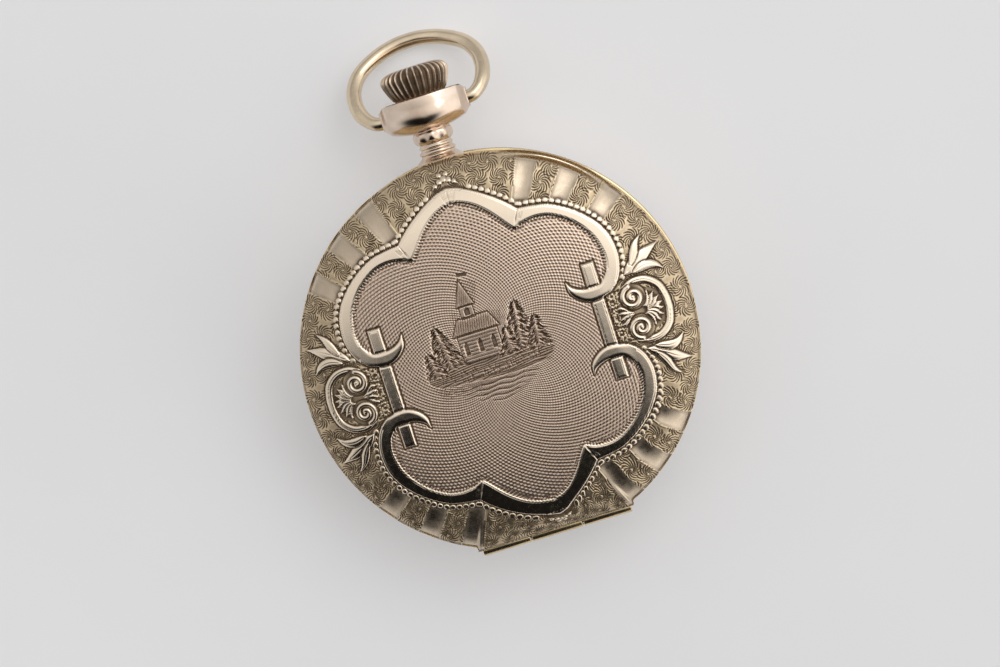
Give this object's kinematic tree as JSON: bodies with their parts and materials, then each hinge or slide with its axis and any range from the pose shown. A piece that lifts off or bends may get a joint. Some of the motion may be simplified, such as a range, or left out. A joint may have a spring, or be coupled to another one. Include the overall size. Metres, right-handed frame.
{
  "type": "fob watch",
  "caption": "Small hunter-case pocket watch with hinged engraved front cover, hinged back and dust covers, pendant, fluted crown, swivelling bow and a working keyless lever movement.",
  "frame": {"origin": "centre of the flat on the back cover that the watch lies on, on the case's axis", "axes": "+Z through the case towards the engraved front cover, +Y along the pendant towards the crown, +X to the right seen from the front"},
  "size_m": [0.035, 0.0457, 0.0114],
  "materials": {
    "gold": "engraved and polished pale gold, cast rose in the middle of the cover",
    "rose_gold": "polished rose gold",
    "steel": "fine ground and polished",
    "blued_steel": "polished and heat blued",
    "nickel": "damascened nickel",
    "brass": "gilt, brushed",
    "enamel": "fired white enamel",
    "glass": "clear, polished",
    "ruby": "clear red, polished"
  },
  "bodies": {
    "case": {"centre_band": "gold", "pendant_neck": "rose_gold", "front_hinge_pin": "steel", "back_hinge_pin": "steel", "lift_spring": "steel", "lock_spring": "steel", "bezel": "gold", "crystal": "glass", "dial": "enamel", "main_plate": "nickel", "barrel_bridge": "nickel", "train_bridge": "nickel", "balance_cock": "nickel", "pallet_bridge": "nickel", "barrel_bridge_screw_1": "blued_steel", "barrel_bridge_screw_2": "blued_steel", "barrel_bridge_screw_3": "blued_steel", "train_bridge_screw_1": "blued_steel", "train_bridge_screw_2": "blued_steel", "balance_cock_screw": "blued_steel", "pallet_bridge_screw": "blued_steel", "case_screw_1": "blued_steel", "case_screw_2": "blued_steel", "click_spring": "steel", "click_stud": "steel", "crown_wheel_core": "steel", "minute_wheel_stud": "steel", "balance_cap_jewel": "ruby"},
    "front_cover": {"front_cover": "gold"},
    "back_cover": {"back_cover": "gold"},
    "inner_cover": {"inner_cover": "gold"},
    "bow": {"bow": "gold"},
    "winding_pinion": {"winding_pinion": "steel"},
    "crown": {"crown": "gold", "winding_stem": "steel"},
    "crown_wheel": {"crown_wheel": "steel"},
    "ratchet_wheel": {"ratchet_wheel": "steel", "barrel_arbor": "steel"},
    "barrel": {"mainspring_barrel": "brass"},
    "centre_wheel": {"centre_wheel": "brass", "cannon_pinion": "steel", "minute_hand": "blued_steel"},
    "hour_wheel": {"hour_wheel": "brass", "hour_hand": "blued_steel"},
    "minute_wheel": {"minute_wheel": "brass"},
    "third_wheel": {"third_wheel": "brass"},
    "fourth_wheel": {"fourth_wheel": "brass", "seconds_hand": "blued_steel"},
    "escape_wheel": {"escape_wheel": "steel"},
    "pallet_fork": {"pallet_fork": "steel"},
    "balance": {"balance_wheel": "brass", "balance_staff": "steel", "hairspring": "blued_steel"},
    "regulator": {"regulator": "steel"},
    "click": {"click": "steel"}
  },
  "joints": [
    {"name": "front_cover_hinge", "type": "hinge", "parent": "case", "child": "front_cover", "pos_m": [0, -0.0165, 0.0077], "axis": [1, 0, 0], "range_deg": [0, 85]},
    {"name": "back_cover_hinge", "type": "hinge", "parent": "case", "child": "back_cover", "pos_m": [0, -0.0165, 0.0037], "axis": [-1, 0, 0], "range_deg": [0, 95]},
    {"name": "inner_cover_hinge", "type": "hinge", "parent": "case", "child": "inner_cover", "pos_m": [0, -0.0165, 0.0037], "axis": [-1, 0, 0], "range_deg": [0, 47.5]},
    {"name": "bow_pivot", "type": "hinge", "parent": "case", "child": "bow", "pos_m": [0, 0.0219, 0.0057], "axis": [1, 0, 0], "range_deg": [-62, 138]},
    {"name": "winding_turn", "type": "hinge", "parent": "case", "child": "winding_pinion", "pos_m": [0, 0.012, 0.0057], "axis": [0, 1, 0], "continuous": true},
    {"name": "crown_slide", "type": "slide", "parent": "winding_pinion", "child": "crown", "axis": [0, 1, 0], "range_m": [-0.0003, 0.0008], "stiffness_N_per_m": 400},
    {"name": "crown_wheel_turn", "type": "hinge", "parent": "case", "child": "crown_wheel", "pos_m": [0, 0.00941, 0.0038], "axis": [0, 0, 1], "continuous": true},
    {"name": "ratchet_turn", "type": "hinge", "parent": "case", "child": "ratchet_wheel", "pos_m": [-0.005, 0.0051, 0.0038], "axis": [0, 0, 1], "continuous": true},
    {"name": "minute_turn", "type": "hinge", "parent": "case", "child": "centre_wheel", "pos_m": [0, 0, 0.0042], "axis": [0, 0, -1], "continuous": true},
    {"name": "hour_turn", "type": "hinge", "parent": "case", "child": "hour_wheel", "pos_m": [0, 0, 0.0066], "axis": [0, 0, -1], "continuous": true},
    {"name": "minute_wheel_turn", "type": "hinge", "parent": "case", "child": "minute_wheel", "pos_m": [-0.0005, -0.00284, 0.0064], "axis": [0, 0, -1], "continuous": true},
    {"name": "barrel_turn", "type": "hinge", "parent": "case", "child": "barrel", "pos_m": [-0.005, 0.0051, 0.0052], "axis": [0, 0, -1], "continuous": true},
    {"name": "third_wheel_turn", "type": "hinge", "parent": "case", "child": "third_wheel", "pos_m": [0.00394, -0.00299, 0.0045], "axis": [0, 0, -1], "continuous": true},
    {"name": "seconds_turn", "type": "hinge", "parent": "case", "child": "fourth_wheel", "pos_m": [0.0066, 0, 0.0045], "axis": [0, 0, -1], "continuous": true},
    {"name": "escape_turn", "type": "hinge", "parent": "case", "child": "escape_wheel", "pos_m": [0.00798, -0.00341, 0.0043], "axis": [0, 0, -1], "continuous": true},
    {"name": "pallet_rock", "type": "hinge", "parent": "case", "child": "pallet_fork", "pos_m": [0.00838, -0.00567, 0.0043], "axis": [0, 0, 1], "range_deg": [-5, 5]},
    {"name": "balance_swing", "type": "hinge", "parent": "case", "child": "balance", "pos_m": [0.00555, -0.00805, 0.00375], "axis": [0, 0, 1], "range_deg": [-150, 150], "stiffness_Nm_per_rad": 0.00000015, "deforming": ["hairspring"]},
    {"name": "regulator_turn", "type": "hinge", "parent": "case", "child": "regulator", "pos_m": [0.00555, -0.00805, 0.0024], "axis": [0, 0, 1], "range_deg": [-15, 15]},
    {"name": "click_pivot", "type": "hinge", "parent": "case", "child": "click", "pos_m": [-0.0095, 0.0079, 0.0038], "axis": [0, 0, -1], "range_deg": [0, 8], "stiffness_Nm_per_rad": 0.00001}
  ],
  "couplings": [
    {"joint": "inner_cover_hinge", "follows": "back_cover_hinge", "ratio": 0.5},
    {"joint": "crown_wheel_turn", "follows": "winding_turn", "ratio": 0.4375},
    {"joint": "ratchet_turn", "follows": "winding_turn", "ratio": -0.29167},
    {"joint": "hour_turn", "follows": "minute_turn", "ratio": 0.083333},
    {"joint": "minute_wheel_turn", "follows": "minute_turn", "ratio": -0.33333},
    {"joint": "barrel_turn", "follows": "minute_turn", "ratio": -0.16667},
    {"joint": "third_wheel_turn", "follows": "minute_turn", "ratio": -8},
    {"joint": "seconds_turn", "follows": "minute_turn", "ratio": 60},
    {"joint": "escape_turn", "follows": "minute_turn", "ratio": -600}
  ]
}
